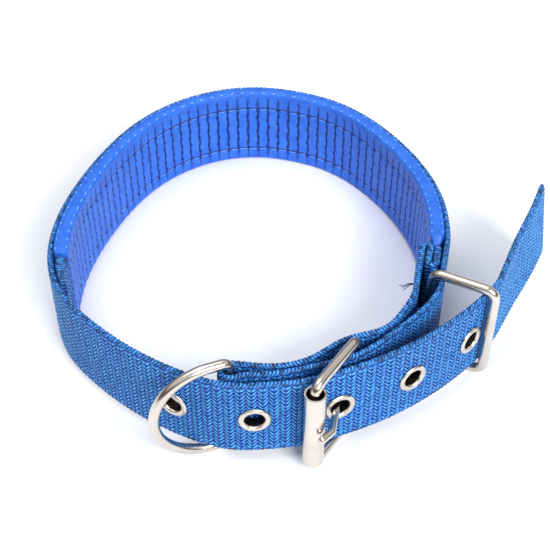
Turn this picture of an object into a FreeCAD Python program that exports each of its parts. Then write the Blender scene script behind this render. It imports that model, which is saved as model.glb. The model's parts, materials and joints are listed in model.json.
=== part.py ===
"""Padded webbing dog collar, buckled, standing on its edge.  Units are millimetres.

One length of webbing makes the whole ring.  Starting at its free tip it runs through the keeper,
over the buckle's base bar, under the roller, through the D-ring, round the neck, past the bars of
the keeper and the buckle, folds round the D-ring's straight bar and comes back as an inner layer.
A short end of webbing also shows in front of the pad's left end, sewn to the inside of the ring.
+X is to the right of the buckle, +Y runs from the buckle to the back of the neck, +Z is up.
"""
import FreeCAD, Part
import math
import os
from FreeCAD import Vector

# ---- driving dimensions -------------------------------------------------------------------
WEB_WIDTH = 25.0            # standard one inch webbing, stood on edge
WEB_THICK = 1.7
WIRE = 2.7                  # steel wire of the D-ring, buckle and keeper
LAYER_GAP = 0.4             # between two layers of webbing that lie on each other
BAR_PLAY = 0.12             # between a bar and the webbing round it
FRONT_LIFT = 3.3            # the front hardware's lower wires lift the webbing off the table
LIFT_FROM_Y = -30.0         # the lift is full in front of this and gone behind LIFT_TO_Y
LIFT_TO_Y = 40.0
TAIL_FROM_X = 52.0          # the free tail, out here, keeps the full lift
LOOP_HEIGHT = WEB_WIDTH + 1.3   # clear height inside the D-ring, buckle and keeper
EDGE_FLAT = 0.05            # depth of lower edge that the table presses flat, at the back

PAD_THICK = 4.3
PAD_BELOW = 0.3             # the pad's lower edge above the webbing's lower edge
PAD_ABOVE = 1.0             # the pad's upper edge above the webbing's upper edge
PAD_GAP = 0.1
COVER_WALL = 0.7
FOAM_PLAY = 0.1

EYELET_FLANGE = 8.2
EYELET_HOLE = 4.5
EYELET_BARREL = 5.3
EYELET_PLAY = 0.1
FLANGE_THICK = 0.5
FLANGE_RIM = 0.15           # height of the flange's and the washer's square rim
FLANGE_SLOPE = 0.9          # width of the flange's slope outside and of its mouth inside
FLANGE_MOUTH = 0.5
FLANGE_OFF = 0.05           # flange and rolled lip stand this far off what they hold
WASHER_THICK = 0.4
WASHER_OFF = 0.2            # between the webbing and the washer
WASHER_RIM = 0.2
LIP_WIDTH = 0.6
LIP_THICK = 0.3

ROLLER_OUTER = 5.4
ROLLER_WALL = 0.45
ROLLER_LENGTH = 24.6
CORNER_BEND = 2.6           # centreline bend of the buckle frame's and the keeper's corners
D_BEND = 2.0                # centreline bend of the D-ring's corners
PRONG_SHEET = 0.8           # thickness of the strip that curls round the base bar
PRONG_HEIGHT = 2.4          # height of the curl
PRONG_SHAFT = 0.8           # radius where the shaft passes through the eyelet
PRONG_TIP = 1.0             # radius at the tip
PRONG_PLAY = 0.25           # round the curl, in the webbing
CURL_PLAY = 0.06            # between the curl and the base bar
CURL_ROOT = 0.5             # how deep the shaft starts in the curl
SLOT_LENGTH = 8.2

THREAD = 0.4
SEAM_OFF = 0.03             # threads lie just off the surface they sew
SEAM_TRIM = 1.2             # seams stop this far short of the pad's ends
SEAM_INSET = 0.5            # seams on the pad's top lie this far in from its sides
TACK_MARGIN = 2.5           # bar tacks stop this far short of the webbing's edges

# ---- plan positions -----------------------------------------------------------------------
D_BAR = Vector(-11.0, -63.3, 0)
D_BOW = Vector(-29.5, -70.4, 0)
BASE_BAR = Vector(20.2, -55.4, 0)
OUT_AT_BASE = Vector(0.55, -0.835, 0)    # across the webbing, out of the ring, at the base bar
ROLLER_AXIS = Vector(9.5, -71.2, 0)
KEEPER_BACK = Vector(41.2, -31.6, 0)
KEEPER_FRONT = Vector(56.4, -39.2, 0)
# the prong's bends: inside its eyelet, beside the roller and at the tip over the roller
PRONG_BENDS = [Vector(16.0, -60.5, 0), Vector(13.8, -72.5, 0), Vector(11.4, -75.1, 0)]

# centreline of the free end: from the tip to where the tail is free to bend
TAIL = [(78.6, 7.4), (73.6, -3.2), (66.9, -15.8), (60.9, -28.0)]
TAIL_JOINT = (59.0, -31.5)
# centreline from the bend, round the neck ring and back to the D-ring's fold
FRONT = [(54.2, -37.6), (46.4, -45.3), (36.6, -53.0), (27.0, -58.8), (16.4, -63.6),
         (8.0, -66.4), (-1.5, -67.75), (-11.0, -67.9), (-18.6, -65.8), (-25.4, -62.6),
         (-37.3, -55.0), (-47.5, -46.0), (-55.4, -36.4), (-59.4, -27.0)]
RING = [(-60.9, -14.0), (-59.6, 0.5), (-56.4, 14.3), (-51.6, 28.0), (-43.9, 42.2), (-33.0, 53.6),
        (-20.6, 60.5), (-6.0, 63.0), (7.8, 60.4), (20.0, 54.5), (31.8, 43.0), (40.2, 29.4),
        (45.1, 16.6), (47.7, 2.4), (47.9, -6.3), (46.9, -16.8), (44.8, -26.0)]
OUTER_LAYER = [(43.6, -32.4), (40.4, -39.0), (34.4, -46.0), (28.2, -51.9)]
OUTER_FRONT = [(9.8, -61.8), (1.0, -64.0), (-4.6, -64.5), (-8.2, -64.9)]
INNER_FRONT = [(-8.4, -61.1), (-2.4, -61.8), (8.4, -59.5)]
INNER_LAYER = [(27.4, -49.2), (32.8, -42.8), (36.1, -36.4), (37.6, -29.6), (38.5, -25.4)]
INNER_END = (40.1, -17.8)   # where the inner layer's end is turned under, beside the pad
INNER_AHEAD = (0.206, 0.979)
HEM_LENGTH = 6.0

EYELETS = [(-24.9, -62.9), (-5.0, -68.0), (15.8, -64.0), (34.4, -54.5), (50.6, -41.4)]
PAD_LEFT = (-60.2, -22.5)
PAD_RIGHT = (47.1, -15.6)
TAB_LENGTH = 11.0           # the inner layer's far end, in front of the pad's left end
TAB_OFF = 0.3
SEAM_UPPER = WEB_WIDTH - 5.2
SEAM_LOWER = 4.2
# rows of stitches beside each captured bar, on the inner layer's face towards the neck
BAR_TACKS = [("bartack_d_ring", [(-6.5, -62.0), (-4.4, -62.2)]),
             ("bartack_buckle", [(12.6, -57.3), (27.4, -49.2)]),
             ("bartack_keeper", [(38.9, -23.4), (39.4, -21.0)])]
STATION = 2.5               # widest spacing of the points that a webbing edge is drawn through
STATION_TURN = 0.35         # and the most that it turns between two of them, in radians
TAIL_SLIT = 0.4             # where the free tail bends
TABLE = 120.0               # half the side of the table that the collar stands on

HALF_WEB = WEB_THICK / 2.0
BAR_OFFSET = WIRE / 2.0 + BAR_PLAY + HALF_WEB     # bar centre to the middle of a layer
MID_HEIGHT = FRONT_LIFT + WEB_WIDTH / 2.0
LOWER_WIRE = WIRE / 2.0
UPPER_WIRE = LOWER_WIRE + LOOP_HEIGHT + WIRE


# ---- the webbing's centreline ---------------------------------------------------------------
def left_of(direction):
    """The unit vector 90 degrees to the left of a plan direction."""
    return Vector(-direction.y, direction.x, 0).normalize()


def half_turn(centre, radius, first, last):
    """Plan points round a half turn, between two angles in degrees."""
    steps = 6
    angles = [math.radians(first + (last - first) * i / steps) for i in range(steps + 1)]
    return [centre + Vector(math.cos(a), math.sin(a), 0) * radius for a in angles]


def turned_end():
    """Plan points of the inner layer's end: straight, then turned under twice, outwards."""
    end = Vector(*INNER_END, 0)
    ahead = Vector(*INNER_AHEAD, 0).normalize()
    out = left_of(ahead) * -1.0
    heading = math.degrees(math.atan2(ahead.y, ahead.x))
    pitch = WEB_THICK + LAYER_GAP
    low = end - ahead * HEM_LENGTH
    first = half_turn(end + out * (pitch / 2.0), pitch / 2.0, heading + 90, heading - 90)
    second = half_turn(low + out * (pitch * 1.5), pitch / 2.0, heading + 90, heading + 270)
    straight = [(end + low) * 0.5 + out * (pitch * i) for i in range(3)]
    return straight[:1] + first + straight[1:2] + second + straight[2:] + [end + out * (pitch * 2)]


def centreline():
    """The whole length of webbing in plan, from the free tip to the turned-under end."""
    bar_out = BASE_BAR + OUT_AT_BASE * BAR_OFFSET
    bar_in = BASE_BAR - OUT_AT_BASE * (BAR_OFFSET + PRONG_SHEET + PRONG_PLAY)
    points = ([Vector(x, y, 0) for x, y in TAIL + [TAIL_JOINT] + FRONT + RING + OUTER_LAYER]
              + [bar_out] + [Vector(x, y, 0) for x, y in OUTER_FRONT]
              + half_turn(D_BAR, BAR_OFFSET, 270, 90)
              + [Vector(x, y, 0) for x, y in INNER_FRONT] + [bar_in]
              + [Vector(x, y, 0) for x, y in INNER_LAYER] + turned_end())
    curve = Part.BSplineCurve()
    curve.interpolate(points)
    return curve


def lift_at(place):
    """How far the front hardware lifts the webbing's lower edge off the table."""
    if place.x > TAIL_FROM_X:
        return FRONT_LIFT
    share = (LIFT_TO_Y - place.y) / (LIFT_TO_Y - LIFT_FROM_Y)
    share = min(1.0, max(0.0, share))
    return FRONT_LIFT * share * share * (3.0 - 2.0 * share)


def stations(curve, first, last):
    """Parameters along the curve, closer together where it bends tightly."""
    places = [first]
    u = first
    while True:
        step = min(STATION, STATION_TURN / max(curve.curvature(u), 1e-6))
        u = curve.parameterAtDistance(step, u)
        if u >= last or curve.length(u, last) < step / 2.0:
            break
        places.append(u)
    return places + [last]


def band(curve, first, last, low, high, bottom, top):
    """A solid between two distances to the left of a curve and two heights above the lower edge."""
    places = stations(curve, first, last)
    rails = []
    for distance in (low, high):
        points = []
        for u in places:
            point = curve.value(u) + left_of(curve.tangent(u)[0]) * distance
            point.z = lift_at(point) + bottom
            points.append(point)
        rail = Part.BSplineCurve()
        rail.interpolate(Points=points, Parameters=places)
        rails.append(rail)
    floor = Part.BSplineSurface()
    floor.buildFromPolesMultsKnots([r.getPoles() for r in rails], [2, 2],
                                   rails[0].getMultiplicities(), [0.0, 1.0],
                                   rails[0].getKnots(), False, False, 1, rails[0].Degree)
    return floor.toShape().extrude(Vector(0, 0, top - bottom))


# ---- hardware ------------------------------------------------------------------------------
def arc_through(a, b, c):
    """A circular edge from a to c by way of b."""
    return Part.Arc(a, b, c).toShape()


def swept(edges, radius):
    """A round wire bent along a closed path that starts on a straight run."""
    path = Part.Wire(edges)
    start = edges[0].valueAt(edges[0].FirstParameter)
    direction = edges[0].tangentAt(edges[0].FirstParameter)
    section = Part.Wire(Part.makeCircle(radius, start, direction))
    return path.makePipeShell([section], True, False)


def rounded_loop(back, front, bend):
    """A rectangular wire loop that stands on its lower wire, its bars at two plan points."""
    out = (front - back).normalize()
    span = (front - back).Length
    half = bend * (1.0 - math.sqrt(0.5))

    def at(along, z):
        return back + out * along + Vector(0, 0, z)

    low, high = LOWER_WIRE, UPPER_WIRE
    middle = (low + high) / 2.0
    edges = [
        Part.makeLine(at(0, middle), at(0, high - bend)),
        arc_through(at(0, high - bend), at(half, high - half), at(bend, high)),
        Part.makeLine(at(bend, high), at(span - bend, high)),
        arc_through(at(span - bend, high), at(span - half, high - half), at(span, high - bend)),
        Part.makeLine(at(span, high - bend), at(span, low + bend)),
        arc_through(at(span, low + bend), at(span - half, low + half), at(span - bend, low)),
        Part.makeLine(at(span - bend, low), at(bend, low)),
        arc_through(at(bend, low), at(half, low + half), at(0, low + bend)),
        Part.makeLine(at(0, low + bend), at(0, middle)),
    ]
    return swept(edges, WIRE / 2.0)


def d_ring():
    """A D of round wire: a straight bar, two short arms and a half-round bow."""
    out = (D_BOW - D_BAR).normalize()
    depth = (D_BOW - D_BAR).Length
    bow = (UPPER_WIRE - LOWER_WIRE) / 2.0
    arm = depth - bow
    bend = D_BEND
    half = bend * (1.0 - math.sqrt(0.5))
    low, high = LOWER_WIRE, UPPER_WIRE
    middle = (low + high) / 2.0

    def at(along, z):
        return D_BAR + out * along + Vector(0, 0, z)

    edges = [
        Part.makeLine(at(0, middle), at(0, high - bend)),
        arc_through(at(0, high - bend), at(half, high - half), at(bend, high)),
        Part.makeLine(at(bend, high), at(arm, high)),
        arc_through(at(arm, high), at(depth, middle), at(arm, low)),
        Part.makeLine(at(arm, low), at(bend, low)),
        arc_through(at(bend, low), at(half, low + half), at(0, low + bend)),
        Part.makeLine(at(0, low + bend), at(0, middle)),
    ]
    return swept(edges, WIRE / 2.0)


def buckle_roller():
    bottom = (LOWER_WIRE + UPPER_WIRE - ROLLER_LENGTH) / 2.0
    base = ROLLER_AXIS + Vector(0, 0, bottom)
    tube = Part.makeCylinder(ROLLER_OUTER / 2.0, ROLLER_LENGTH, base)
    bore = Part.makeCylinder(ROLLER_OUTER / 2.0 - ROLLER_WALL, ROLLER_LENGTH, base)
    return tube.cut(bore)


def buckle_prong():
    """A curl round the base bar and a wire shaft that bends over to rest on the roller."""
    bore = WIRE / 2.0 + CURL_PLAY
    curl_outer = bore + PRONG_SHEET
    height = Vector(0, 0, MID_HEIGHT)
    out = (PRONG_BENDS[0] - BASE_BAR).normalize()
    stops = [BASE_BAR + out * (curl_outer - CURL_ROOT)] + PRONG_BENDS
    radii = [PRONG_SHAFT, PRONG_SHAFT, PRONG_TIP, PRONG_TIP]
    base = BASE_BAR + height - Vector(0, 0, PRONG_HEIGHT / 2.0)
    prong = Part.makeCylinder(curl_outer, PRONG_HEIGHT, base)
    for i, stop in enumerate(PRONG_BENDS):
        run = stop - stops[i]
        if radii[i] == radii[i + 1]:
            shaft = Part.makeCylinder(radii[i], run.Length, stops[i] + height, run)
        else:
            shaft = Part.makeCone(radii[i], radii[i + 1], run.Length, stops[i] + height, run)
        prong = prong.fuse(shaft).fuse(Part.makeSphere(radii[i + 1], stop + height))
    return prong.cut(Part.makeCylinder(bore, PRONG_HEIGHT, base))


def prong_slot():
    """The slot in the outer layer for the curl and for the shaft that leaves it."""
    bottom = MID_HEIGHT - PRONG_HEIGHT / 2.0 - 2 * PRONG_PLAY
    height = PRONG_HEIGHT + 4 * PRONG_PLAY
    width = 2 * (PRONG_SHAFT + 3 * PRONG_PLAY)
    out = PRONG_BENDS[0] - BASE_BAR
    slot = Part.makeBox(SLOT_LENGTH, width, height)
    slot.translate(Vector(0, -width / 2.0, bottom))
    slot.rotate(Vector(0, 0, 0), Vector(0, 0, 1), math.degrees(math.atan2(out.y, out.x)))
    slot.translate(BASE_BAR)
    room = WIRE / 2.0 + CURL_PLAY + PRONG_SHEET + PRONG_PLAY
    return slot.fuse(Part.makeCylinder(room, height, BASE_BAR + Vector(0, 0, bottom)))


# ---- eyelets ------------------------------------------------------------------------------
def eyelet_frame(curve, place):
    """The centre and the outward direction of the webbing at a plan point."""
    u = curve.parameter(Vector(*place, 0))
    centre = curve.value(u)
    outward = left_of(curve.tangent(u)[0])
    centre.z = lift_at(centre) + WEB_WIDTH / 2.0
    return centre, outward


def turned(profile, centre, outward):
    """Turn a closed profile of (radius, outward distance) pairs about the eyelet's axis."""
    along = Vector(0, 0, 1)
    points = [centre + along * r + outward * d for r, d in profile]
    return Part.Face(Part.makePolygon(points + [points[0]])).revolve(centre, outward, 360)


def eyelet(centre, outward):
    """A domed flange outside, a barrel through the webbing and a lip rolled over the washer."""
    hole = EYELET_HOLE / 2.0
    barrel = EYELET_BARREL / 2.0
    flange = EYELET_FLANGE / 2.0
    face = HALF_WEB + FLANGE_OFF
    top = face + FLANGE_THICK
    back = -(HALF_WEB + WASHER_OFF + WASHER_THICK + FLANGE_OFF)
    lip = barrel + LIP_WIDTH
    return turned([(hole, back - LIP_THICK), (lip, back - LIP_THICK), (lip, back),
                   (barrel, back), (barrel, face), (flange, face), (flange, face + FLANGE_RIM),
                   (flange - FLANGE_SLOPE, top), (hole + FLANGE_MOUTH, top),
                   (hole, face + FLANGE_RIM)], centre, outward)


def eyelet_washer(centre, outward):
    """A flat ring on the back of the webbing, with its outer edge broken."""
    near = -(HALF_WEB + WASHER_OFF)
    far = near - WASHER_THICK
    bore = EYELET_BARREL / 2.0 + EYELET_PLAY
    edge = EYELET_FLANGE / 2.0 - WASHER_RIM
    return turned([(bore, near), (edge, near), (edge, far + FLANGE_RIM), (edge - WASHER_RIM, far),
                   (bore, far)], centre, outward)


# ---- sewing -------------------------------------------------------------------------------
def bar_tack(curve, places):
    """Upright rows of stitches across the inner layer, on its face towards the neck."""
    low = HALF_WEB + SEAM_OFF
    rows = []
    for place in places:
        u = curve.parameter(Vector(*place, 0))
        stop = curve.parameterAtDistance(THREAD, u)
        rows.append(band(curve, u, stop, low, low + THREAD, TACK_MARGIN, WEB_WIDTH - TACK_MARGIN))
    return Part.makeCompound(rows)


# ---- build --------------------------------------------------------------------------------
def webbing(curve, first, last):
    """A length of webbing, its lower edge flat wherever it reaches the table."""
    length = band(curve, first, last, -HALF_WEB, HALF_WEB, -EDGE_FLAT, WEB_WIDTH)
    table = Part.makeBox(2 * TABLE, 2 * TABLE, WEB_WIDTH, Vector(-TABLE, -TABLE, -WEB_WIDTH))
    return length.cut(table)


def build():
    curve = centreline()
    joint = curve.parameter(Vector(*TAIL_JOINT, 0))
    before = curve.parameterAtDistance(-TAIL_SLIT / 2.0, joint)
    after = curve.parameterAtDistance(TAIL_SLIT / 2.0, joint)
    parts = {"tail_end": webbing(curve, curve.FirstParameter, before)}
    strap = webbing(curve, after, curve.LastParameter).cut(prong_slot())
    for i, place in enumerate(EYELETS, 1):
        centre, outward = eyelet_frame(curve, place)
        radius = EYELET_BARREL / 2.0 + EYELET_PLAY
        reach = WEB_THICK
        strap = strap.cut(Part.makeCylinder(radius, 2 * reach, centre - outward * reach, outward))
        parts["eyelet_%d" % i] = eyelet(centre, outward)
        parts["eyelet_washer_%d" % i] = eyelet_washer(centre, outward)
    parts["webbing_strap"] = strap

    first = curve.parameter(Vector(*PAD_LEFT, 0))
    last = curve.parameter(Vector(*PAD_RIGHT, 0))
    near = HALF_WEB + PAD_GAP
    far = near + PAD_THICK
    top = WEB_WIDTH + PAD_ABOVE

    def pad(trim, low, high, bottom, upper):
        """A band on the ring's inside, over the pad's length less a trim at each end."""
        start = curve.parameterAtDistance(trim, first)
        stop = curve.parameterAtDistance(-trim, last)
        return band(curve, start, stop, -high, -low, bottom, upper)

    tab_end = curve.parameterAtDistance(-TAB_OFF, first)
    tab_start = curve.parameterAtDistance(-TAB_LENGTH, tab_end)
    parts["inner_layer_end"] = band(curve, tab_start, tab_end, -near - WEB_THICK, -near,
                                    0.0, WEB_WIDTH)

    wall = COVER_WALL
    whole = pad(0.0, near, far, PAD_BELOW, top)
    parts["pad_cover"] = whole.cut(pad(wall, near + wall, far - wall, PAD_BELOW + wall, top - wall))
    core = wall + FOAM_PLAY
    parts["pad_foam"] = pad(core, near + core, far - core, PAD_BELOW + core, top - core)

    above = top + SEAM_OFF
    face = far + SEAM_OFF
    outer = near + SEAM_INSET
    inner = far - SEAM_INSET - THREAD
    for name, low in (("pad_seam_top_outer", outer), ("pad_seam_top_inner", inner)):
        parts[name] = pad(SEAM_TRIM, low, low + THREAD, above, above + THREAD)
    for name, height in (("pad_seam_upper", SEAM_UPPER), ("pad_seam_lower", SEAM_LOWER)):
        parts[name] = pad(SEAM_TRIM, face, face + THREAD, height, height + THREAD)

    for name, places in BAR_TACKS:
        parts[name] = bar_tack(curve, places)
    parts["d_ring"] = d_ring()
    parts["buckle_frame"] = rounded_loop(BASE_BAR, ROLLER_AXIS, CORNER_BEND)
    parts["buckle_roller"] = buckle_roller()
    parts["buckle_prong"] = buckle_prong()
    parts["keeper_loop"] = rounded_loop(KEEPER_BACK, KEEPER_FRONT, CORNER_BEND)
    return parts


def main():
    os.makedirs("parts", exist_ok=True)
    parts = build()
    box = Part.makeCompound(list(parts.values())).optimalBoundingBox()
    shift = Vector(-(box.XMin + box.XMax) / 2.0, -(box.YMin + box.YMax) / 2.0, 0)
    for name, shape in sorted(parts.items()):
        shape.translate(shift)
        shape.exportStep("parts/%s.step" % name)
        print("%-20s solids %d valid %s volume %.1f" %
              (name, len(shape.Solids), shape.isValid(), shape.Volume))
    print("size %.2f x %.2f x %.2f" % (box.XLength, box.YLength, box.ZLength))
    for name, place in (("shift", Vector(0, 0, 0)), ("d_bar", D_BAR), ("base_bar", BASE_BAR),
                        ("roller", ROLLER_AXIS), ("keeper_back", KEEPER_BACK),
                        ("keeper_front", KEEPER_FRONT), ("tail_joint", Vector(*TAIL_JOINT, 0))):
        print("%-14s %.3f %.3f" % (name, place.x + shift.x, place.y + shift.y))


main()
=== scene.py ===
"""Looks of a padded webbing dog collar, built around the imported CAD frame.

Lengths are worked out in millimetres in the plan of the CAD part and turned into metres in the
row frame by to_row().  The webbing's centreline repeats the plan points of the CAD part.
"""

import json
import math

import bpy
import numpy as np
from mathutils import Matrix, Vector


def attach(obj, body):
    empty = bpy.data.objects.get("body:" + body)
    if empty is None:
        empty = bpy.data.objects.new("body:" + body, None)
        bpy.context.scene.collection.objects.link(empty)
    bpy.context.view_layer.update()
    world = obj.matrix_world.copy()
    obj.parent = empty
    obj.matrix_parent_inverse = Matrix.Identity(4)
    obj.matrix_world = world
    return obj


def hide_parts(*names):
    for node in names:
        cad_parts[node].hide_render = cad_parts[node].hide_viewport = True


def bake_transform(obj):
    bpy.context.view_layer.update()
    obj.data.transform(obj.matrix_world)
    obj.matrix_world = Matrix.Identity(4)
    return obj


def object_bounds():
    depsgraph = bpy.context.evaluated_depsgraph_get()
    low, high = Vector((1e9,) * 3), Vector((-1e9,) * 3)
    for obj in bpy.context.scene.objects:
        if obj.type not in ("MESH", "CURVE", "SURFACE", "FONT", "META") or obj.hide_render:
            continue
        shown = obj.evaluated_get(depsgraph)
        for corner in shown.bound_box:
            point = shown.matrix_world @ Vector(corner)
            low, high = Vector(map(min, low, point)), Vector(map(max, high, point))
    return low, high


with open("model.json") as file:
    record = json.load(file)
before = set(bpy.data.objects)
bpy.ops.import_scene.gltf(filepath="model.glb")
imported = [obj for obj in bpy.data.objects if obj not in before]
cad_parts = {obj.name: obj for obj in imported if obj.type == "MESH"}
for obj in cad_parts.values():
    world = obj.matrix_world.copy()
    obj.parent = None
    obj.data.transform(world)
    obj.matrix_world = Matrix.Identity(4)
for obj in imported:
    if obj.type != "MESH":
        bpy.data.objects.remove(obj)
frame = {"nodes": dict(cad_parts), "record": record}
cad_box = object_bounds()

MM = 0.001
SEED = 11

# ---- sizes shared with the CAD part, mm -----------------------------------------------------
WEB_WIDTH = 25.0
HALF_WEB = 0.85
WIRE = 2.7
LOOP_HEIGHT = WEB_WIDTH + 1.3
CORNER_BEND = 2.6
D_BEND = 2.0
LAYER_GAP = 0.4
BAR_OFFSET = WIRE / 2.0 + 0.12 + HALF_WEB
FRONT_LIFT = 3.3
LIFT_FROM_Y = -30.0
LIFT_TO_Y = 40.0
TAIL_FROM_X = 52.0
PAD_THICK = 4.3
PAD_TOP = WEB_WIDTH + 1.0
PAD_GAP = 0.1
SEAM_UPPER = 20.0
SEAM_LOWER = 4.4
PRONG_SHEET = 0.8
PRONG_PLAY = 0.25
HEM_LENGTH = 6.0
TAB_LENGTH = 11.0            # inner layer's end in front of the pad

# ---- sizes that only the looks use, mm --------------------------------------------------------
TAB_THIN = 1.7               # that end's thickness at its tip ...
TAB_SWELL = 1.9              # ... and how much thicker it is beside the pad
EYELET_HOLE = 2.28           # radius
EYELET_FLANGE = 4.1          # radius
PUNCHED_HOLE = 3.1           # radius of the hole in the webbing
SLOT_HALF = (3.0, 1.7)       # half length and half height of the prong's slot

# ---- plan points of the webbing's centreline, mm, the same as the CAD part's ----------------
D_BAR = (-11.0, -63.3)
D_BOW = (-29.5, -70.4)
BASE_BAR = (20.2, -55.4)
ROLLER_AXIS = (9.5, -71.2)
KEEPER_BACK = (41.2, -31.6)
KEEPER_FRONT = (56.4, -39.2)
OUT_AT_BASE = (0.55, -0.835)
TAIL = [(78.6, 7.4), (73.6, -3.2), (66.9, -15.8), (60.9, -28.0)]
TAIL_JOINT = (59.0, -31.5)
FRONT = [(54.2, -37.6), (46.4, -45.3), (36.6, -53.0), (27.0, -58.8), (16.4, -63.6),
         (8.0, -66.4), (-1.5, -67.75), (-11.0, -67.9), (-18.6, -65.8), (-25.4, -62.6),
         (-37.3, -55.0), (-47.5, -46.0), (-55.4, -36.4), (-59.4, -27.0)]
RING = [(-60.9, -14.0), (-59.6, 0.5), (-56.4, 14.3), (-51.6, 28.0), (-43.9, 42.2), (-33.0, 53.6),
        (-20.6, 60.5), (-6.0, 63.0), (7.8, 60.4), (20.0, 54.5), (31.8, 43.0), (40.2, 29.4),
        (45.1, 16.6), (47.7, 2.4), (47.9, -6.3), (46.9, -16.8), (44.8, -26.0)]
OUTER_LAYER = [(43.6, -32.4), (40.4, -39.0), (34.4, -46.0), (28.2, -51.9)]
OUTER_FRONT = [(9.8, -61.8), (1.0, -64.0), (-4.6, -64.5), (-8.2, -64.9)]
INNER_FRONT = [(-8.4, -61.1), (-2.4, -61.8), (8.4, -59.5)]
INNER_LAYER = [(27.4, -49.2), (32.8, -42.8), (36.1, -36.4), (37.6, -29.6), (38.5, -25.4)]
INNER_END = (40.1, -17.8)
INNER_AHEAD = (0.206, 0.979)
EYELETS = [(-24.9, -62.9), (-5.0, -68.0), (15.8, -64.0), (34.4, -54.5), (50.6, -41.4)]
PAD_LEFT = (-60.2, -22.5)
PAD_RIGHT = (47.1, -15.6)
BAR_TACKS = [("bartack_d_ring", [(-6.5, -62.0), (-4.4, -62.2)]),
             ("bartack_buckle", [(12.6, -57.3), (27.4, -49.2)]),
             ("bartack_keeper", [(38.9, -23.4), (39.4, -21.0)])]

# ---- plan points that only the looks use, mm --------------------------------------------------
KEEPER_CUT = (54.6, -37.2)   # the visual webbing is cut into pieces here ...
LEFT_CUT = (-60.6, -18.0)
RIGHT_CUT = (47.6, -10.0)    # ... and here
TUFT_AT = (37.4, -30.6)

# ---- the weave, mm --------------------------------------------------------------------------
WAVE = 2.75                 # one chevron along the webbing
WAVE_SAMPLES = 8
ROWS = 18                   # rows of chevrons across the webbing
SELVEDGE = 1.1              # rounded edge beyond the first and the last row
ZIGZAG = 1.0                # half the height of a chevron
GAP_DEPTH = 0.26            # how far the gap between two rows lies below their crests
SHOULDER = 0.07
DIVE = 0.20                 # a yarn dips this far where the chevron turns
TAIL_LEAN = 3.6             # how far the free tip's upper corner leans in over its lower one
HEM_SWELL = 1.24            # the turned-under layers are pressed together
HEM_RUN = 6.0               # length over which they thicken

# ---- the pad's quilting, mm -------------------------------------------------------------------
RIB = 3.8
RIB_STOPS = [0.0, 0.06, 0.16, 0.32, 0.5, 0.68, 0.84, 0.94]
GROOVE_DEPTH = 0.60
GROOVE_WANDER = 0.17
KNOT_PITCH = 5.2

# ---- stitches and wires, mm -------------------------------------------------------------------
STITCH_RADIUS = 0.23
TACK_RADIUS = 0.22
TACKS = 12                  # stitches in one upright row
TACKS_FROM = 2.6
TACK_PITCH = 1.68
TACK_LENGTH = 1.5
TACK_LEAN = 0.35
WIRE_SIDES = 32             # facets round a wire

# ---- camera -----------------------------------------------------------------------------------
CAMERA_DISTANCE = 0.330
CAMERA_PITCH = math.radians(43.0)
LENS = 72.0


# ---- plan to row frame ------------------------------------------------------------------------
def joint_place(name):
    """A joint's place in the row frame, in metres."""
    joints = frame["record"]["behaviour"]["joints"]
    return next(j["pos_m"] for j in joints if j["name"] == name)


SWIVEL = joint_place("d_ring_swivel")
SHIFT = np.array([SWIVEL[0] / MM - D_BAR[0], SWIVEL[1] / MM - D_BAR[1], 0.0])


def to_row(points):
    """Plan points in millimetres, as metres in the row frame."""
    return (np.asarray(points, float) + SHIFT) * MM


# ---- the webbing's centreline -----------------------------------------------------------------
def half_turn(centre, radius, first, last):
    """Plan points round a half turn, between two angles in degrees."""
    angles = np.radians(np.linspace(first, last, 7))
    return [(centre[0] + radius * math.cos(a), centre[1] + radius * math.sin(a)) for a in angles]


def turned_end():
    """Plan points of the inner layer's end: straight, then turned under twice, outwards."""
    end = np.array(INNER_END)
    ahead = np.array(INNER_AHEAD) / np.hypot(*INNER_AHEAD)
    out = np.array([ahead[1], -ahead[0]])
    heading = math.degrees(math.atan2(ahead[1], ahead[0]))
    pitch = 2 * HALF_WEB + LAYER_GAP
    low = end - ahead * HEM_LENGTH
    first = half_turn(end + out * pitch * 0.5, pitch * 0.5, heading + 90, heading - 90)
    second = half_turn(low + out * pitch * 1.5, pitch * 0.5, heading + 90, heading + 270)
    straight = [tuple((end + low) * 0.5 + out * pitch * i) for i in range(3)]
    tip = tuple(end + out * pitch * 2)
    return straight[:1] + first + straight[1:2] + second + straight[2:] + [tip]


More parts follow.
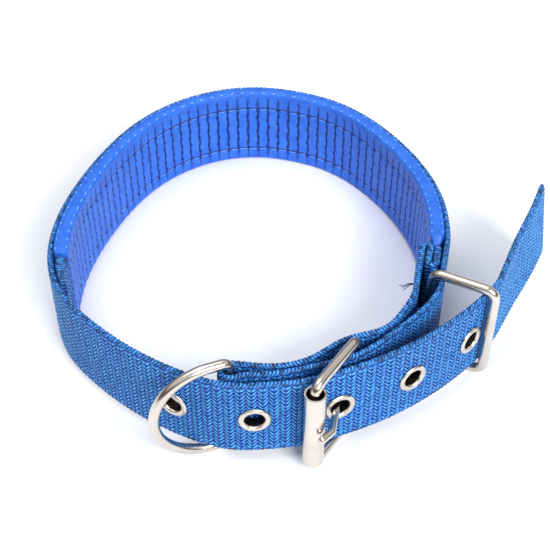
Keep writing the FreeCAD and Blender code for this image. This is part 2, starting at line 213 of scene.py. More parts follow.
class Centreline:
    """A cubic spline through plan points, read by the distance along it."""

    STEP = 0.05

    def __init__(self, points):
        points = np.array(points, float)
        spans = np.hypot(*np.diff(points, axis=0).T)
        knots = np.concatenate([[0.0], np.cumsum(spans)])
        count = len(points)
        system = np.eye(count)
        right = np.zeros((count, 2))
        for i in range(1, count - 1):
            system[i, i - 1:i + 2] = [spans[i - 1], 2 * (spans[i - 1] + spans[i]), spans[i]]
            right[i] = 6 * ((points[i + 1] - points[i]) / spans[i]
                            - (points[i] - points[i - 1]) / spans[i - 1])
        bends = np.linalg.solve(system, right)
        u = np.arange(0.0, knots[-1], self.STEP)
        k = np.clip(np.searchsorted(knots, u, side="right") - 1, 0, count - 2)
        h = spans[k][:, None]
        a = (knots[k + 1] - u)[:, None] / h
        b = 1.0 - a
        self.xy = (a * points[k] + b * points[k + 1]
                   + ((a ** 3 - a) * bends[k] + (b ** 3 - b) * bends[k + 1]) * h * h / 6.0)
        self.s = np.concatenate([[0.0], np.cumsum(np.hypot(*np.diff(self.xy, axis=0).T))])
        self.length = self.s[-1]
        slope = np.gradient(self.xy, self.s, axis=0)
        self.ahead = slope / np.hypot(slope[:, 0], slope[:, 1])[:, None]

    def distance_to(self, place):
        """Distance from the tip to the point of the curve nearest to a plan point."""
        return self.s[np.argmin(np.hypot(*(self.xy - np.array(place)).T))]

    def read(self, table, s):
        return np.stack([np.interp(s, self.s, table[:, i]) for i in range(2)], axis=-1)

    def place(self, s, left, height):
        """Plan points at distances s, offset to the left, at heights above the lower edge."""
        s, left, height = np.broadcast_arrays(s, left, height)
        ahead = self.read(self.ahead, s)
        ahead = ahead / np.hypot(ahead[..., 0], ahead[..., 1])[..., None]
        xy = self.read(self.xy, s)
        x = xy[..., 0] - ahead[..., 1] * left
        y = xy[..., 1] + ahead[..., 0] * left
        return np.stack([x, y, height + lift_at(x, y)], axis=-1)


def lift_at(x, y):
    """How far the front hardware lifts the webbing's lower edge off the table."""
    share = np.clip((LIFT_TO_Y - y) / (LIFT_TO_Y - LIFT_FROM_Y), 0.0, 1.0)
    lift = FRONT_LIFT * share * share * (3.0 - 2.0 * share)
    return np.where(x > TAIL_FROM_X, FRONT_LIFT, lift)


def centreline():
    out = np.array(OUT_AT_BASE)
    bar_out = tuple(np.array(BASE_BAR) + out * BAR_OFFSET)
    bar_in = tuple(np.array(BASE_BAR) - out * (BAR_OFFSET + PRONG_SHEET + PRONG_PLAY))
    return Centreline(TAIL + [TAIL_JOINT] + FRONT + RING + OUTER_LAYER + [bar_out] + OUTER_FRONT
                      + half_turn(D_BAR, BAR_OFFSET, 270, 90) + INNER_FRONT + [bar_in]
                      + INNER_LAYER + turned_end())


LINE = centreline()
HEM_AT = LINE.distance_to(INNER_END) - 2.0


# ---- mesh helpers -----------------------------------------------------------------------------
def new_piece(name, points, faces, uv=None, material=None, smooth=True):
    """A mesh object from row-frame points, with one UV pair per point."""
    mesh = bpy.data.meshes.new(name)
    mesh.from_pydata(np.asarray(points).tolist(), [], [list(map(int, f)) for f in faces])
    if uv is not None:
        layer = mesh.uv_layers.new(name="UVMap")
        corner = np.empty(len(mesh.loops), dtype=np.int32)
        mesh.loops.foreach_get("vertex_index", corner)
        layer.data.foreach_set("uv", np.asarray(uv, np.float32)[corner].ravel())
    mesh.polygons.foreach_set("use_smooth", [smooth] * len(mesh.polygons))
    mesh.validate()
    piece = bpy.data.objects.new(name, mesh)
    bpy.context.scene.collection.objects.link(piece)
    if material is not None:
        mesh.materials.append(material)
    return piece


def tube_faces(count, round_count, first=0):
    """Quads of a closed section carried along count stations."""
    i = np.arange(count - 1)[:, None] * round_count
    j = np.arange(round_count)[None, :]
    k = (j + 1) % round_count
    quads = np.stack([i + j, i + k, i + k + round_count, i + j + round_count], axis=-1)
    return quads.reshape(-1, 4) + first


def capsule_rows(name, ends, radius, material, sides=7):
    """Many short rounded stitches in one mesh, each from one row-frame point to another."""
    points = []
    faces = []
    rings = [(0.0, 0.35), (0.08, 0.8), (0.25, 1.0), (0.75, 1.0), (0.92, 0.8), (1.0, 0.35)]
    for a, b in ends:
        a, b = Vector(a), Vector(b)
        along = b - a
        side = along.orthogonal().normalized()
        other = along.cross(side).normalized()
        first = len(points)
        for share, swell in rings:
            for k in range(sides):
                angle = 2 * math.pi * k / sides
                reach = side * math.cos(angle) + other * math.sin(angle)
                points.append(tuple(a + along * share + reach * radius * swell))
        faces.extend(tube_faces(len(rings), sides, first).tolist())
        last = first + sides * (len(rings) - 1)
        faces.append([first + k for k in reversed(range(sides))])
        faces.append([last + k for k in range(sides)])
    return new_piece(name, points, faces, None, material)


# ---- materials --------------------------------------------------------------------------------
def srgb(r, g, b):
    """A colour given in 0-255 display values, as linear values."""
    values = [c / 255.0 for c in (r, g, b)]
    return [c / 12.92 if c <= 0.04045 else ((c + 0.055) / 1.055) ** 2.4 for c in values] + [1.0]


class Nodes:
    """Short calls to build a material's node tree."""

    def __init__(self, name):
        self.material = bpy.data.materials.new(name)
        self.material.use_nodes = True
        self.tree = self.material.node_tree
        self.shader = self.tree.nodes["Principled BSDF"]

    def add(self, kind, **settings):
        node = self.tree.nodes.new(kind)
        for key, value in settings.items():
            setattr(node, key, value)
        return node

    def link(self, source, target):
        self.tree.links.new(source, target)

    def feed(self, socket, value):
        if isinstance(value, bpy.types.NodeSocket):
            self.link(value, socket)
        else:
            socket.default_value = value

    def math(self, operation, a, b=0.0, clamp=False):
        node = self.add("ShaderNodeMath", operation=operation, use_clamp=clamp)
        self.feed(node.inputs[0], a)
        self.feed(node.inputs[1], b)
        return node.outputs[0]

    def swing(self, value):
        """1 at whole numbers and 0 halfway between them."""
        part = self.math("SUBTRACT", self.math("FRACT", value), 0.5)
        return self.math("MULTIPLY", self.math("ABSOLUTE", part), 2.0)

    def ramp(self, fac, stops):
        node = self.add("ShaderNodeValToRGB")
        elements = node.color_ramp.elements
        while len(elements) < len(stops):
            elements.new(0.5)
        for element, (at, colour) in zip(elements, stops):
            element.position = at
            element.color = colour
        self.link(fac, node.inputs[0])
        return node.outputs[0]

    def grey(self, fac, stops):
        return self.ramp(fac, [(at, (v, v, v, 1.0)) for at, v in stops])

    def mix(self, fac, a, b, blend="MIX"):
        node = self.add("ShaderNodeMix", data_type="RGBA", blend_type=blend)
        self.feed(node.inputs["Factor"], fac)
        self.feed(node.inputs[6], a)
        self.feed(node.inputs[7], b)
        return node.outputs[2]

    def noise(self, vector, scale, detail=2.0, rough=0.5):
        node = self.add("ShaderNodeTexNoise")
        if vector is not None:
            self.link(vector, node.inputs["Vector"])
        node.inputs["Scale"].default_value = scale
        node.inputs["Detail"].default_value = detail
        node.inputs["Roughness"].default_value = rough
        return node.outputs["Fac"]

    def uv(self):
        coords = self.add("ShaderNodeUVMap", uv_map="UVMap")
        split = self.add("ShaderNodeSeparateXYZ")
        self.link(coords.outputs[0], split.inputs[0])
        return coords.outputs[0], split.outputs[0], split.outputs[1]

    def bump(self, height, strength, distance, below=None):
        node = self.add("ShaderNodeBump")
        node.inputs["Strength"].default_value = strength
        node.inputs["Distance"].default_value = distance
        self.link(height, node.inputs["Height"])
        if below is not None:
            self.link(below, node.inputs["Normal"])
        return node.outputs[0]

    def set(self, **values):
        for key, value in values.items():
            self.feed(self.shader.inputs[key.replace("_", " ")], value)


def webbing_material():
    """Nylon chevron weave: u counts chevrons, v counts rows; v outside 0..ROWS is selvedge."""
    n = Nodes("woven_nylon")
    _, u, v = n.uv()
    across = n.swing(v)
    limb = n.math("ADD", n.math("MULTIPLY", u, 2.0), 0.5)
    along = n.swing(limb)
    slant = n.math("MODULO", n.math("FLOOR", limb), 2.0)
    # Painted highlight and shade: each row's crest is near-white cyan, as if catching the light,
    # and the gaps between rows are painted dark blue as shade.
    crest = n.ramp(across, [(0.0, srgb(136, 226, 254)), (0.30, srgb(70, 174, 240)),
                            (0.60, srgb(20, 104, 206)), (0.92, srgb(2, 32, 116))])
    # Painted shade where each yarn dives at a chevron's turn; the middle of each limb keeps the
    # lighter crest colour as its painted highlight.
    dive = n.ramp(along, [(0.0, (1.0, 1.0, 1.0, 1.0)), (0.40, (0.86, 0.91, 0.96, 1.0)),
                          (0.80, (0.24, 0.40, 0.70, 1.0)), (1.0, (0.08, 0.18, 0.50, 1.0))])
    colour = n.mix(0.95, crest, dive, "MULTIPLY")
    yarn = n.add("ShaderNodeCombineXYZ")
    n.link(n.math("FLOOR", limb), yarn.inputs[0])
    n.link(n.math("FLOOR", v), yarn.inputs[1])
    chance = n.add("ShaderNodeTexWhiteNoise", noise_dimensions="2D")
    n.link(yarn.outputs[0], chance.inputs["Vector"])
    tint = n.ramp(chance.outputs["Value"], [(0.0, (0.46, 0.62, 0.84, 1.0)),
                                            (0.5, (0.84, 0.89, 0.95, 1.0)),
                                            (1.0, (1.0, 1.0, 1.0, 1.0))])
    colour = n.mix(1.0, colour, tint, "MULTIPLY")
    # Painted light: every other limb of the chevrons is painted darker, as if its slant faced away
    # from the light.
    lean = n.grey(slant, [(0.0, 0.80), (1.0, 1.0)])
    colour = n.mix(1.0, colour, lean, "MULTIPLY")
    # selvedge: a twisted cord whose turns are painted with a highlight on top and shade between
    # them
    edge = n.math("ADD", n.math("LESS_THAN", v, 0.0), n.math("GREATER_THAN", v, float(ROWS)))
    turns = n.math("FRACT", n.math("ADD", n.math("MULTIPLY", limb, 1.5), v))
    cord = n.ramp(turns, [(0.0, srgb(8, 42, 124)), (0.25, srgb(28, 110, 208)),
                          (0.55, srgb(96, 184, 240)), (0.8, srgb(22, 92, 196)),
                          (1.0, srgb(8, 42, 124))])
    place = n.add("ShaderNodeTexCoord").outputs["Object"]
    fleck = n.grey(n.noise(place, 900.0, 1.0), [(0.36, 0.25), (0.60, 1.0)])
    cord = n.mix(1.0, cord, fleck, "MULTIPLY")
    colour = n.mix(edge, colour, cord)
    patches = n.grey(n.noise(place, 55.0, 3.0), [(0.3, 0.82), (0.7, 1.0)])
    colour = n.mix(1.0, colour, patches, "MULTIPLY")
    n.set(Base_Color=colour, Roughness=n.grey(across, [(0.0, 0.38), (1.0, 0.75)]))
    n.shader.inputs["Sheen Weight"].default_value = 0.04
    n.shader.inputs["Sheen Roughness"].default_value = 0.4
    n.shader.inputs["Sheen Tint"].default_value = srgb(170, 210, 255)
    n.shader.inputs["Specular IOR Level"].default_value = 0.28
    strands = n.math("SINE", n.math("MULTIPLY", v, 2 * math.pi * 6))
    fibres = n.noise(place, 4200.0, 2.0, 0.6)
    grain = n.math("ADD", n.math("MULTIPLY", strands, 0.5), fibres)
    n.link(n.bump(grain, 0.5, 0.00006), n.shader.inputs["Normal"])
    return n.material


def leather_material():
    """Quilted leatherette: u counts ribs, v is the height on the face, then across the top."""
    n = Nodes("quilted_leatherette")
    _, u, v = n.uv()
    nearest = n.math("FLOOR", n.math("ADD", u, 0.5))
    beat = n.swing(n.math("ADD", n.math("MULTIPLY", v, 2.0 / KNOT_PITCH),
                          n.math("MULTIPLY", nearest, 0.37)))
    groove = n.math("MULTIPLY", n.math("ABSOLUTE", n.math("SUBTRACT", u, nearest)), 2.0)
    groove = n.math("DIVIDE", groove, n.ramp(beat, [(0.0, (2.2, 2.2, 2.2, 1.0)),
                                                    (0.28, (1.0, 1.0, 1.0, 1.0)),
                                                    (1.0, (0.75, 0.75, 0.75, 1.0))]))
    # Painted shade in the quilting grooves: a near-black blue stripe along each groove, wider at
    # its knots, fading near the lower edge and above the upper seam.
    face = n.grey(n.math("DIVIDE", v, 40.0), [(0.0, 0.15), (0.08, 0.8), (0.12, 1.0), (0.48, 1.0),
                                             (0.52, 0.85), (0.60, 0.6), (0.615, 0.0)])
    painted_groove_shade = n.math("MULTIPLY", n.grey(groove, [(0.08, 1.0), (0.26, 0.0)]), face)
    place = n.add("ShaderNodeTexCoord").outputs["Object"]
    base = n.ramp(n.noise(place, 260.0, 4.0, 0.55), [(0.3, srgb(26, 92, 200)),
                                                     (0.7, srgb(42, 112, 218))])
    colour = n.mix(painted_groove_shade, base, srgb(2, 16, 92))
    # Painted shade along both seam rows, where the stitching pulls the cover in.
    for row in (SEAM_UPPER, SEAM_LOWER):
        near = n.math("ABSOLUTE", n.math("SUBTRACT", v, row + 0.15))
        dark = n.grey(near, [(0.2, 0.8), (0.6, 0.0)])
        colour = n.mix(dark, colour, srgb(4, 20, 100))
    n.set(Base_Color=colour, Roughness=n.grey(n.noise(place, 900.0, 2.0), [(0.3, 0.42),
                                                                         (0.7, 0.58)]))
    n.shader.inputs["Specular IOR Level"].default_value = 0.45
    grain = n.add("ShaderNodeTexVoronoi", feature="DISTANCE_TO_EDGE")
    n.link(place, grain.inputs["Vector"])
    grain.inputs["Scale"].default_value = 2200.0
    pebble = n.grey(grain.outputs["Distance"], [(0.0, 0.0), (0.25, 1.0)])
    low = n.bump(n.noise(place, 420.0, 3.0), 0.5, 0.00012)
    n.link(n.bump(pebble, 0.25, 0.00004, low), n.shader.inputs["Normal"])
    return n.material


def thread_material():
    n = Nodes("sewing_thread")
    place = n.add("ShaderNodeTexCoord").outputs["Object"]
    twist = n.noise(place, 5200.0, 1.0)
    colour = n.ramp(twist, [(0.35, srgb(78, 140, 238)), (0.65, srgb(124, 176, 250))])
    n.set(Base_Color=colour, Roughness=0.45)
    n.link(n.bump(twist, 0.4, 0.00005), n.shader.inputs["Normal"])
    return n.material


def dark_thread_material():
    n = Nodes("loose_thread_fibre")
    place = n.add("ShaderNodeTexCoord").outputs["Object"]
    twist = n.noise(place, 4000.0, 1.0)
    colour = n.ramp(twist, [(0.35, srgb(30, 40, 66)), (0.65, srgb(62, 84, 128))])
    n.set(Base_Color=colour, Roughness=0.6)
    return n.material


def nickel_material(name, tone, roughness):
    """Bright nickel plate with faint wear, cloudy polish and fine handling marks."""
    n = Nodes(name)
    place = n.add("ShaderNodeTexCoord").outputs["Object"]
    cloud = n.noise(place, 160.0, 4.0, 0.6)
    marks = n.noise(place, 1500.0, 3.0, 0.7)
    r, g, b = tone
    colour = n.ramp(cloud, [(0.3, srgb(r - 14, g - 15, b - 17)), (0.7, srgb(r, g, b))])
    rough = n.math("ADD", n.grey(cloud, [(0.3, roughness), (0.7, roughness + 0.07)]),
                   n.grey(marks, [(0.55, 0.0), (0.8, 0.10)]))
    n.set(Base_Color=colour, Metallic=1.0, Roughness=rough)
    n.link(n.bump(marks, 0.08, 0.00003, n.bump(cloud, 0.15, 0.00012)), n.shader.inputs["Normal"])
    return n.material


def foam_material():
    n = Nodes("foam_core")
    place = n.add("ShaderNodeTexCoord").outputs["Object"]
    cells = n.add("ShaderNodeTexVoronoi")
    n.link(place, cells.inputs["Vector"])
    cells.inputs["Scale"].default_value = 1500.0
    colour = n.ramp(cells.outputs["Distance"], [(0.1, srgb(176, 174, 166)),
                                                (0.6, srgb(232, 230, 222))])
    n.set(Base_Color=colour, Roughness=0.95)
    n.link(n.bump(cells.outputs["Distance"], 0.6, 0.0002), n.shader.inputs["Normal"])
    return n.material


WOVEN = webbing_material()
LEATHER = leather_material()
THREAD = thread_material()
LOOSE_THREAD = dark_thread_material()
NICKEL = nickel_material("bright_nickel", (214, 207, 198), 0.16)
ROLLED_NICKEL = nickel_material("rolled_nickel", (224, 217, 208), 0.16)
FLANGE_NICKEL = nickel_material("flange_nickel", (216, 209, 198), 0.24)
# A dark metal for the eyelet's funnel and barrel: painted shade for the hole, not a real finish.
BARREL_PAINTED_SHADE = nickel_material("eyelet_hole_painted_shade", (52, 46, 44), 0.42)


# ---- webbing ----------------------------------------------------------------------------------
def web_section():
    """The section's points as (side, height, v, zigzag share, relief kind), all the way round.

    side is the offset as a share of the half thickness.  Relief kind is 0 for a gap, 1 for a
    shoulder, 2 for a crest and 3 for the selvedge.
    """
    pitch = (WEB_WIDTH - 2 * SELVEDGE) / ROWS
    face = []
    for q in range(4 * ROWS + 1):
        v = q / 4.0
        share = min(1.0, v, ROWS - v)
        kind = (0, 1, 2, 1)[q % 4]
        face.append((1.0, SELVEDGE + pitch * v, v, share, kind))
    edge = []
    for angle in (62, 30, 0, -30, -62):
        side = math.sin(math.radians(angle)) * 0.95
        drop = math.cos(math.radians(angle))
        edge.append((side, WEB_WIDTH - SELVEDGE + SELVEDGE * drop * 0.92, ROWS + drop, 0.0, 3))
    back = [(-side, z, v, share, kind) for side, z, v, share, kind in reversed(face)]
    lower = [(-side, WEB_WIDTH - z, ROWS - v, 0.0, 3) for side, z, v, _, _ in edge]
    return face + edge + back + lower, len(face), len(edge)


SECTION, FACE_POINTS, EDGE_POINTS = web_section()


def chevrons(u):
    """The yarns' swing from -1 to 1 at u chevrons along, and how far they stand up or down."""
    swing = np.sin(2 * math.pi * u)
    return swing, ZIGZAG * (2 / math.pi) * np.arcsin(0.96 * swing)


def web_holes(first, last):
    """Holes in the webbing between two distances: (distance, half length, half height)."""
    holes = [(LINE.distance_to(p), PUNCHED_HOLE, PUNCHED_HOLE) for p in EYELETS]
    slot = LINE.distance_to(np.array(BASE_BAR) + np.array(OUT_AT_BASE) * BAR_OFFSET)
    holes.append((slot, *SLOT_HALF))
    return [h for h in holes if first < h[0] < last]


def webbing(name, first, last):
    """A length of woven webbing between two distances from the tip, as one closed mesh."""
    random = np.random.RandomState(SEED)
    steps = int(round((last - first) / WAVE * WAVE_SAMPLES))
    s = np.linspace(first, last, steps + 1)
    side, height, v, share, kind = np.array(SECTION).T
    u = s / WAVE
    swing, zigzag = chevrons(u)
    dive = DIVE * np.abs(swing) ** 1.5
    wobble = random.normal(0.0, 1.0, (int(LINE.length / WAVE * 2) + 4, ROWS + 2, 2))
    yarn = wobble[np.clip(np.floor(u * 2 + 0.5).astype(int), 0, None)][
        :, np.clip(np.floor(v).astype(int) + 1, 0, ROWS + 1)]
    ridge = (kind == 1) | (kind == 2)
    relief = np.choose(kind.astype(int), [GAP_DEPTH, SHOULDER, 0.0, 0.0])
    depth = relief[None, :] + np.where(ridge, 1.0, 0.0) * (dive[:, None] + 0.035 * yarn[..., 0])
    swell = np.interp(s, [HEM_AT - HEM_RUN, HEM_AT], [1.0, HEM_SWELL])[:, None]
    half = HALF_WEB * swell * np.abs(side)[None, :] - depth
    cord = 0.09 * np.cos(4 * math.pi * u[:, None] + 3.0 * side[None, :])
    half = np.where(kind == 3, half + cord * np.abs(side)[None, :], half)
    out = half * np.sign(side)[None, :]
    z = height[None, :] + zigzag[:, None] * share[None, :]
    z = z + np.where(ridge, 0.05, 0.0) * yarn[..., 1]
    lift = np.where(v > ROWS, 1.0, np.where(v < 0, -1.0, 0.0))
    z = z + lift * cord
    loose = np.clip(1.0 - s / LINE.distance_to(TAIL_JOINT), 0.0, 1.0)[:, None]
    lean = TAIL_LEAN * loose ** 0.7 * (0.5 - height / WEB_WIDTH)[None, :]
    points = LINE.place(s[:, None], out + lean, z)
    count = len(side)
    uv = np.stack(np.broadcast_arrays(u[:, None], v[None, :]), axis=-1).reshape(-1, 2)
    faces, walls = cut_holes(s, count, web_holes(first, last))
    faces = faces.tolist() + walls + end_caps(steps, count)
    return new_piece(name, to_row(points.reshape(-1, 3)), faces, uv, WOVEN)


def build_inner_layer_end():
    """The far end of the inner layer: woven, turned under beside the pad, thinning in front."""
    stop = LINE.distance_to(PAD_LEFT) - 0.3
    steps = int(round(TAB_LENGTH / WAVE * WAVE_SAMPLES))
    s = np.linspace(stop - TAB_LENGTH, stop, steps + 1)
    side, height, v, share, kind = np.array(SECTION).T
    u = s / WAVE
    zigzag = chevrons(u)[1]
    relief = np.choose(kind.astype(int), [GAP_DEPTH, SHOULDER, 0.0, 0.0])
    along = np.clip((s - s[0]) / TAB_LENGTH, 0.0, 1.0)
    thick = TAB_THIN + TAB_SWELL * np.clip((along - 0.15) / 0.6, 0.0, 1.0) ** 1.5
    round_end = np.sqrt(np.clip(1.0 - ((along - 0.86) / 0.14).clip(0.0, 1.0) ** 2, 0.10, 1.0))
    half = (thick / 2.0 * round_end)[:, None] * np.abs(side)[None, :] - relief[None, :] * 0.8
    middle = HALF_WEB + PAD_GAP + thick / 2.0
    out = half * np.sign(side)[None, :] - middle[:, None]
    z = height[None, :] + zigzag[:, None] * share[None, :]
    points = LINE.place(s[:, None], out, z)
    count = len(side)
    uv = np.stack(np.broadcast_arrays(u[:, None], v[None, :]), axis=-1).reshape(-1, 2)
    faces = tube_faces(len(s), count).tolist() + end_caps(steps, count)
    piece = new_piece("webbing_inner_end", to_row(points.reshape(-1, 3)), faces, uv, WOVEN)
    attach(piece, "collar")
    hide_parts("inner_layer_end")


def end_caps(steps, count):
    """Strips of faces that close both ends of a length of webbing."""
    caps = []
    half_count = FACE_POINTS + EDGE_POINTS
    middle = count - EDGE_POINTS // 2 - 1
    order = [(middle + k) % count for k in range(count)]
    for station, flip in ((0, False), (steps, True)):
        for k in range(half_count - 1):
            quad = [order[k], order[k + 1], order[-(k + 1) % count], order[-k % count]]
            quad = list(dict.fromkeys(station * count + q for q in quad))
            caps.append(quad[::-1] if flip else quad)
    return caps


def cut_holes(s, count, holes):
    """The tube's quads without the cells in a hole, and the walls through the webbing there."""
    heights = np.array([p[1] for p in SECTION[:FACE_POINTS]])
    middle_s = (s[:-1] + s[1:]) / 2.0
    middle_z = (heights[:-1] + heights[1:]) / 2.0
    gone = np.zeros((len(middle_s), FACE_POINTS - 1), bool)
    for at, reach_s, reach_z in holes:
        ds = (middle_s[:, None] - at) / reach_s
        dz = (middle_z[None, :] - WEB_WIDTH / 2.0) / reach_z
        gone |= ds * ds + dz * dz < 1.0
    last = 2 * FACE_POINTS + EDGE_POINTS - 1
    dead = np.zeros((len(middle_s), count), bool)
    dead[:, :FACE_POINTS - 1] = gone
    dead[:, last - FACE_POINTS + 1:last] = gone[:, ::-1]
    faces = tube_faces(len(s), count)[~dead.ravel()]
    walls = []

    def wall(i0, j0, i1, j1):
        walls.append([i0 * count + j0, i1 * count + j1,
                      i1 * count + last - j1, i0 * count + last - j0])

    for i, j in zip(*np.nonzero(gone)):
        if not gone[i, j - 1]:
            wall(i, j, i + 1, j)
        if not gone[i, j + 1]:
            wall(i + 1, j + 1, i, j + 1)
        if not gone[i - 1, j]:
            wall(i, j + 1, i, j)
        if not gone[i + 1, j]:
            wall(i + 1, j, i + 1, j + 1)
    return faces, walls


def whole_waves(distance):
    """The nearest distance that ends a chevron, so that two lengths meet in step."""
    return round(distance / WAVE) * WAVE


def build_webbing():
    keeper = whole_waves(LINE.distance_to(KEEPER_CUT))
    left = whole_waves(LINE.distance_to(LEFT_CUT))
    right = whole_waves(LINE.distance_to(RIGHT_CUT))
    tail = webbing("webbing_tail", 0.0, keeper)
    front = webbing("webbing_front", keeper, left)
    middle = whole_waves((left + right) / 2.0)
    back_left = webbing("webbing_back_left", left, middle)
    back_right = webbing("webbing_back_right", middle, right)
    inner = webbing("webbing_return", right, LINE.length)
    for piece in (front, back_left, back_right, inner):
        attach(piece, "collar")
        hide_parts("webbing_strap")
    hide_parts("tail_end")
    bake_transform(tail)


# ---- pad --------------------------------------------------------------------------------------
def pad_section():
    """The pad's section as (depth from the webbing, height, v), all the way round.

    v is the height on the neck side's face and goes on across the top; the other faces take
    values past that, where the quilting stops.
    """
    face = []
    heights = np.concatenate([[0.75], np.linspace(1.2, SEAM_LOWER - 0.5, 5),
                              [SEAM_LOWER - 0.22, SEAM_LOWER, SEAM_LOWER + 0.22],
                              np.linspace(SEAM_LOWER + 0.5, SEAM_UPPER - 0.5, 24),
                              [SEAM_UPPER - 0.22, SEAM_UPPER, SEAM_UPPER + 0.22],
                              np.linspace(SEAM_UPPER + 0.5, PAD_TOP - 0.9, 8)])
    for z in heights:
        face.append((PAD_THICK, z, z))
    top = [(4.22, 25.5), (4.0, 25.78), (3.75, 25.82), (3.55, 25.72), (3.35, 25.80), (3.0, 25.93),
           (2.4, 26.0), (1.8, 26.0), (1.3, 25.93), (0.95, 25.82), (0.72, 25.70), (0.5, 25.78),
           (0.25, 25.72), (0.05, 25.4)]
    v = PAD_TOP
    upper = []
    last = (PAD_THICK, heights[-1])
    for d, z in top:
        v = v + math.hypot(d - last[0], z - last[1])
        upper.append((d, z, v))
        last = (d, z)
    back = [(0.0, z, v + 3.0) for z in (22.0, 16.0, 9.0, 3.0, 0.8)]
    floor = [(0.3, 0.42, v + 4.0), (1.5, 0.32, v + 4.5), (3.0, 0.32, v + 4.5), (4.0, 0.42, 0.3)]
    return face + upper + back + floor, len(face)


def pad_face_relief(rib, z, phase):
    """How far the quilted face sinks and how far its grooves wander, for ribs and heights."""
    at = np.abs((rib + 0.5) % 1.0 - 0.5)
    groove = np.clip(1.0 - at / 0.16, 0.0, 1.0) ** 1.2
    between = np.clip((z - SEAM_LOWER) / 0.8, 0, 1) * np.clip((SEAM_UPPER - z) / 0.8, 0, 1)
    above = 0.75 * np.clip((z - SEAM_UPPER) / 0.8, 0, 1) * np.clip((PAD_TOP - 1.0 - z) / 2.0, 0, 1)
    below = 0.6 * np.clip((SEAM_LOWER - z) / 0.6, 0, 1) * np.clip((z - 1.0) / 2.5, 0, 1)
    share = between + above + below
    crown = 0.16 * np.cos(math.pi * at) ** 2
    rows = np.zeros_like(z)
    for row in (SEAM_UPPER, SEAM_LOWER):
        rows = np.maximum(rows, np.exp(-((z - row) / 0.42) ** 2))
    stitch = 0.75 + 0.25 * np.cos(2 * math.pi * rib)
    sink = np.maximum(GROOVE_DEPTH * groove * share, 0.55 * rows * stitch)
    sink = sink + (0.16 - crown) * (1.0 - rows)
    wander = np.sin(2 * math.pi * z / KNOT_PITCH + phase) * GROOVE_WANDER
    return np.clip(sink, 0.0, 0.72), wander * np.clip(share, 0.0, 1.0)


def build_pad():
    random = np.random.RandomState(SEED + 1)
    section, face_count = pad_section()
    depth, height, v = np.array(section).T
    first = LINE.distance_to(PAD_LEFT)
    last = LINE.distance_to(PAD_RIGHT)
    ribs = int(round((last - first) / RIB))
    stops = np.array([k + stop for k in range(ribs) for stop in RIB_STOPS] + [float(ribs)])
    rib = stops[:, None]
    phases = 0.5 * random.normal(0.0, 1.0, ribs + 2)
    phase = np.interp(stops, np.arange(ribs + 2) - 0.5, phases)[:, None] + 0.35 * rib
    sink, wander = pad_face_relief(rib, height[None, :], phase)
    on_face = (np.arange(len(depth)) < face_count)[None, :]
    sink = np.where(on_face, sink, 0.0)
    near_end = np.clip(np.minimum(stops, ribs - stops), 0.0, 1.0)[:, None]
    wander = np.where(on_face, wander, 0.0) * near_end
    s = first + (last - first) * rib / ribs + wander
    end_round = 1.0 - 0.35 * (1.0 - np.clip(near_end / 0.5, 0.0, 1.0)) ** 2
    middle = PAD_THICK / 2.0
    d = middle + (depth[None, :] - sink - middle) * end_round
    slump = 0.12 * np.sin(rib * 0.9 + 1.0) * np.clip((height[None, :] - 24.0) / 2.0, 0.0, 1.0)
    points = LINE.place(s, -(HALF_WEB + PAD_GAP + d), height[None, :] - np.abs(slump))
    count = len(depth)
    faces = tube_faces(len(stops), count)[:, ::-1].tolist()
    end = (len(stops) - 1) * count
    faces.append(list(range(count)))
    faces.append([end + k for k in reversed(range(count))])
    uv = np.stack(np.broadcast_arrays(rib, v[None, :]), axis=-1).reshape(-1, 2)
    pad = new_piece("padded_lining", to_row(points.reshape(-1, 3)), faces, uv, LEATHER)
    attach(pad, "collar")
    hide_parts("pad_cover")
    return first, last, ribs


def build_pad_seams(first, last, ribs):
    """Rows of stitches, one to a rib, drawn down into the pad."""
    random = np.random.RandomState(SEED + 2)
    face = HALF_WEB + PAD_GAP + PAD_THICK
    web = HALF_WEB + PAD_GAP
    # node, distance inwards, height, half a stitch as a share of a rib
    rows = [("pad_seam_upper", face - 0.44, SEAM_UPPER - 0.35, 0.30),
            ("pad_seam_lower", face - 0.44, SEAM_LOWER - 0.35, 0.30),
            ("pad_seam_top_inner", web + 3.55, 25.80, 0.17),
            ("pad_seam_top_outer", web + 0.72, 25.78, 0.10)]
    for name, offset, height, half in rows:
        ends = []
        for k in range(ribs):
            drift = random.normal(0.0, 0.04, 4)
            a = first + (last - first) * (k + 0.5 - half + drift[0]) / ribs
            b = first + (last - first) * (k + 0.5 + half + drift[1]) / ribs
            start = LINE.place(a, -offset, height + drift[2])
            stop = LINE.place(b, -offset, height + 0.12 + drift[3])
            ends.append((to_row(start), to_row(stop)))
        piece = capsule_rows(name + "_stitches", ends, STITCH_RADIUS * MM, THREAD)
        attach(piece, "collar")
        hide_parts(name)


def build_bartacks():
    """Upright zigzag stitches on the inner layer, on the side towards the neck."""
    for name, places in BAR_TACKS:
        ends = []
        for place in places:
            s = LINE.distance_to(place)
            for k in range(TACKS):
                low = TACKS_FROM + TACK_PITCH * k
                lean = TACK_LEAN if k % 2 else -TACK_LEAN
                a = LINE.place(s + 0.2 - lean, HALF_WEB + 0.1, low)
                b = LINE.place(s + 0.2 + lean, HALF_WEB + 0.1, low + TACK_LENGTH)
                ends.append((to_row(a), to_row(b)))
        piece = capsule_rows(name + "_stitches", ends, TACK_RADIUS * MM, THREAD)
        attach(piece, "collar")
        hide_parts(name)


